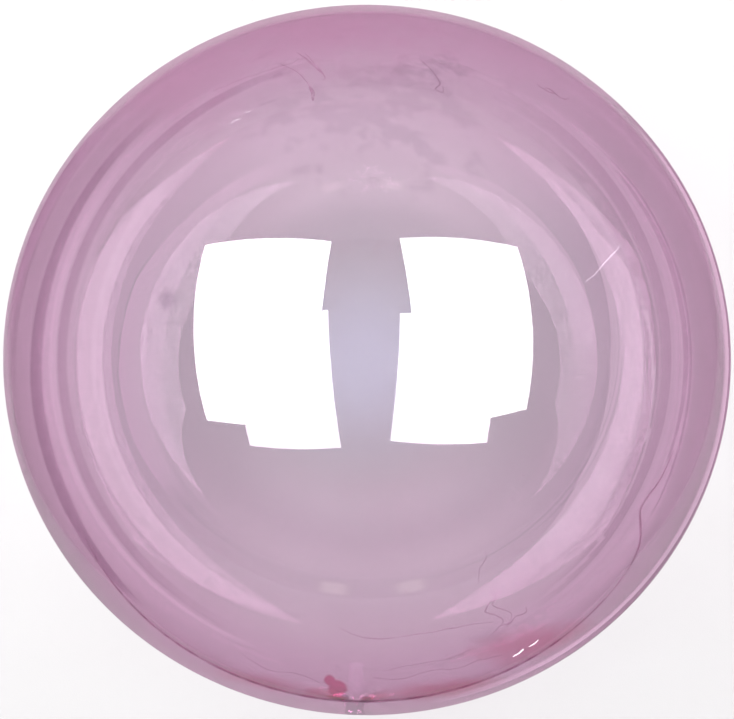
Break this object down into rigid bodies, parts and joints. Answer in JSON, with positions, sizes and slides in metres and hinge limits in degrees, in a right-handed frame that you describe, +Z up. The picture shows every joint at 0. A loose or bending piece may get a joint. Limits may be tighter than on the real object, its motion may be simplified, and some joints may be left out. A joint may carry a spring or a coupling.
{
  "type": "clear bubble balloon",
  "caption": "Round inflated balloon of clear, pink-tinted glossy film with a short flat gathered neck, lying on its side.",
  "frame": {"origin": "middle of the small flat spot that the balloon rests on, straight below its centre", "axes": "+Z up; the neck points along -Y and the crown along +Y; +X runs across, along the neck's wide side"},
  "size_m": [0.46, 0.4594, 0.4573],
  "materials": {
    "clear_film": "thin clear blown film with a pink tint, glossy, tint deepest where the film is gathered at the neck"
  },
  "bodies": {
    "root": {"film_bubble": "clear_film"}
  },
  "joints": []
}
